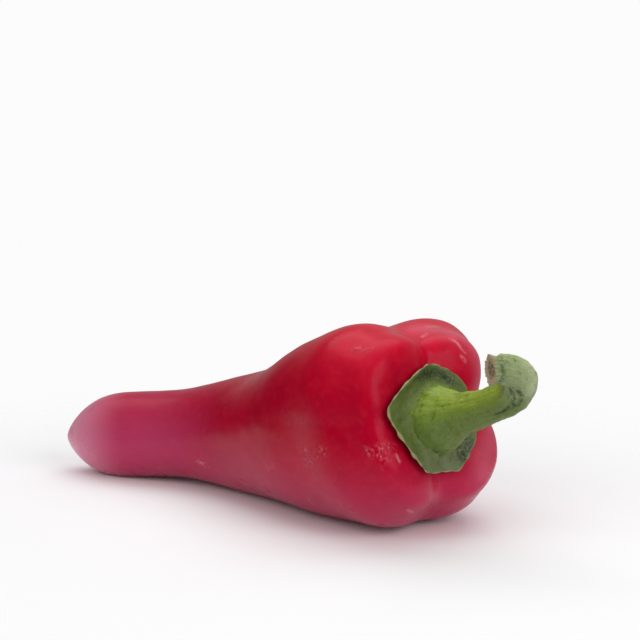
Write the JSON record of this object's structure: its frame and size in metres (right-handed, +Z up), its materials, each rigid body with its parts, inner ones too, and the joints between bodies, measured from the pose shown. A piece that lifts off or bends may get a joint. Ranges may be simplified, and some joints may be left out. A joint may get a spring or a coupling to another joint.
{
  "type": "bell pepper",
  "caption": "Pointed red bell pepper lying on its side, with a lobed shoulder, a pointed green calyx and a thick hooked stem.",
  "frame": {"origin": "under the middle of the whole pepper's bounding box, on the surface that it lies on", "axes": "+X from the blossom tip towards the stem, +Z up as it lies, -Y the near side in the picture"},
  "size_m": [0.1536, 0.0836, 0.0539],
  "materials": {
    "fruit_skin": "smooth waxy red skin, satin gloss",
    "calyx_green": "leathery dark green leaf tissue",
    "stem_green": "firm ribbed green stem, slightly waxy"
  },
  "bodies": {
    "root": {"fruit": "fruit_skin", "calyx": "calyx_green", "stem": "stem_green"}
  },
  "joints": []
}
